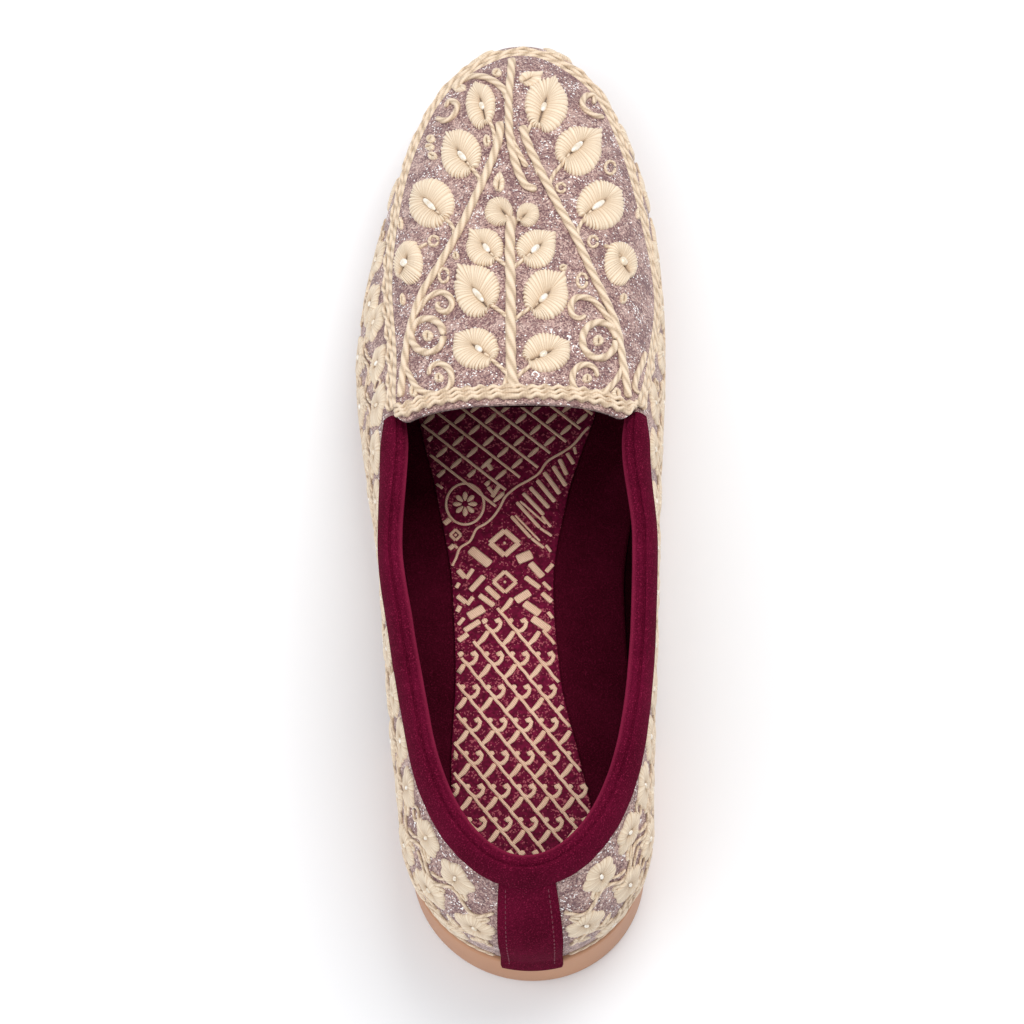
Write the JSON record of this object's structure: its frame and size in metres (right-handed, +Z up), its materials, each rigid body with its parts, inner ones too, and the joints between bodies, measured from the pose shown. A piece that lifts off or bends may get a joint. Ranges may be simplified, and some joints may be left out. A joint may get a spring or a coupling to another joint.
{
  "type": "mojari shoe",
  "caption": "Left embroidered slip-on mojari: hollow cloth upper with raised vamp apron, corded edges, padded velvet collar and heel strip on a moulded sole with a low heel.",
  "frame": {"origin": "under the middle of the shoe's box, on the floor plane", "axes": "+Y from heel to toe, +X to the medial side (the shoe is a left one), +Z up"},
  "size_m": [0.0922, 0.294, 0.0747],
  "materials": {
    "tan_rubber": "smooth satin",
    "sequin_cloth": "glinting sequinned cloth",
    "velvet_lining": "short pile",
    "brocade": "woven brocade",
    "cream_cord": "silky cord",
    "maroon_velvet": "short pile"
  },
  "bodies": {
    "root": {"outsole": "tan_rubber", "upper": "sequin_cloth", "insole": "velvet_lining", "sock": "brocade", "apron": "sequin_cloth", "apron_braid": "cream_cord", "throat_braid": "cream_cord", "collar": "maroon_velvet", "back_strip": "maroon_velvet"}
  },
  "joints": []
}
